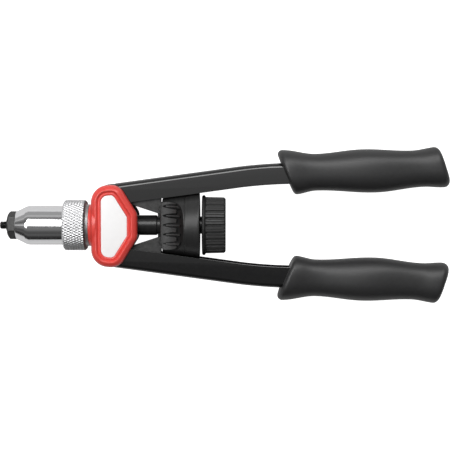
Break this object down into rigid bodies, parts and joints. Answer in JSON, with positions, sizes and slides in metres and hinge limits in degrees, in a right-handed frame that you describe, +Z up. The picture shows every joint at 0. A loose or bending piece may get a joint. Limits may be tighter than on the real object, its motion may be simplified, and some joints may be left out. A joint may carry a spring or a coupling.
{
  "type": "rivet nut tool",
  "caption": "Long-handled hand tool that sets rivet nuts: threaded mandrel in a round nose, red head, toggle links, scooped stop barrel, spin knob and wavy grips.",
  "frame": {"origin": "on the mandrel's axis at the front face of the nosepiece, handles closed", "axes": "+X along the mandrel's axis from the nose towards the grips, +Y towards the upper handle in the plane that the handles swing in, +Z up with the tool lying flat"},
  "size_m": [0.3293, 0.1148, 0.0476],
  "materials": {
    "black_steel": "black oxide, satin",
    "nose_steel": "dark oxide, satin",
    "chrome": "polished plating",
    "bright_steel": "turned, bright",
    "frame_black": "black paint",
    "red_shell": "glossy",
    "white_label": "smooth, bare",
    "arm_paint": "glossy black paint",
    "grip_rubber": "matte",
    "link_steel": "dark oxide, satin",
    "bronze": "turned",
    "adjuster_black": "black anodised, satin",
    "stop_grey": "grey-black, bead blasted",
    "knob_plastic": "matte"
  },
  "bodies": {
    "head": {"nosepiece": "nose_steel", "nose_sleeve": "chrome", "neck_bush": "bright_steel", "head_frame": "frame_black", "front_cover": "red_shell", "rear_cover": "red_shell", "front_label": "white_label", "upper_pivot_pin": "bright_steel", "lower_pivot_pin": "bright_steel", "rear_bush": "bronze"},
    "coupling_ring": {"coupling_ring": "chrome"},
    "upper_handle": {"upper_arm": "arm_paint", "upper_grip": "grip_rubber", "upper_link_pin": "bright_steel"},
    "lower_handle": {"lower_arm": "arm_paint", "lower_grip": "grip_rubber", "lower_link_pin": "bright_steel"},
    "slider": {"slider": "black_steel", "upper_crosshead_pin": "bright_steel", "lower_crosshead_pin": "bright_steel"},
    "upper_link": {"upper_link_front": "link_steel", "upper_link_rear": "link_steel"},
    "lower_link": {"lower_link_front": "link_steel", "lower_link_rear": "link_steel"},
    "spindle": {"spindle": "bright_steel", "mandrel_coupler": "bright_steel", "mandrel": "black_steel", "thrust_washer": "bronze", "knob": "knob_plastic", "knob_screw": "bright_steel"},
    "stop_barrel": {"stop_barrel": "stop_grey"},
    "adjuster_nut": {"adjuster_nut": "adjuster_black"}
  },
  "joints": [
    {"name": "upper_handle_pivot", "type": "hinge", "parent": "head", "child": "upper_handle", "pos_m": [0.07552, 0.01735, 0], "axis": [0, 0, 1], "range_deg": [0, 45]},
    {"name": "lower_handle_pivot", "type": "hinge", "parent": "head", "child": "lower_handle", "pos_m": [0.07552, -0.01735, 0], "axis": [0, 0, -1], "range_deg": [0, 45]},
    {"name": "slider_travel", "type": "slide", "parent": "head", "child": "slider", "axis": [-1, 0, 0], "range_m": [0, 0.00814]},
    {"name": "upper_link_swing", "type": "hinge", "parent": "slider", "child": "upper_link", "pos_m": [0.11482, 0.012, 0], "axis": [0, 0, -1], "range_deg": [0, 8.8]},
    {"name": "lower_link_swing", "type": "hinge", "parent": "slider", "child": "lower_link", "pos_m": [0.11482, -0.012, 0], "axis": [0, 0, 1], "range_deg": [0, 8.8]},
    {"name": "knob_spin", "type": "hinge", "parent": "slider", "child": "spindle", "pos_m": [0.15, 0, 0], "axis": [1, 0, 0], "continuous": true},
    {"name": "stop_travel", "type": "slide", "parent": "slider", "child": "stop_barrel", "axis": [1, 0, 0], "range_m": [0, 0.00125]},
    {"name": "adjuster_turn", "type": "hinge", "parent": "stop_barrel", "child": "adjuster_nut", "pos_m": [0.136, 0, 0], "axis": [1, 0, 0], "range_deg": [0, 360]},
    {"name": "coupling_ring_turn", "type": "hinge", "parent": "head", "child": "coupling_ring", "pos_m": [0.05, 0, 0], "axis": [1, 0, 0], "continuous": true}
  ],
  "couplings": [
    {"joint": "lower_handle_pivot", "follows": "upper_handle_pivot", "ratio": 1},
    {"joint": "slider_travel", "follows": "upper_handle_pivot", "m_per_rad": 0.01036},
    {"joint": "upper_link_swing", "follows": "upper_handle_pivot", "ratio": 0.19555},
    {"joint": "lower_link_swing", "follows": "upper_handle_pivot", "ratio": 0.19555},
    {"joint": "stop_travel", "follows": "adjuster_turn", "m_per_rad": 0.000198}
  ]
}
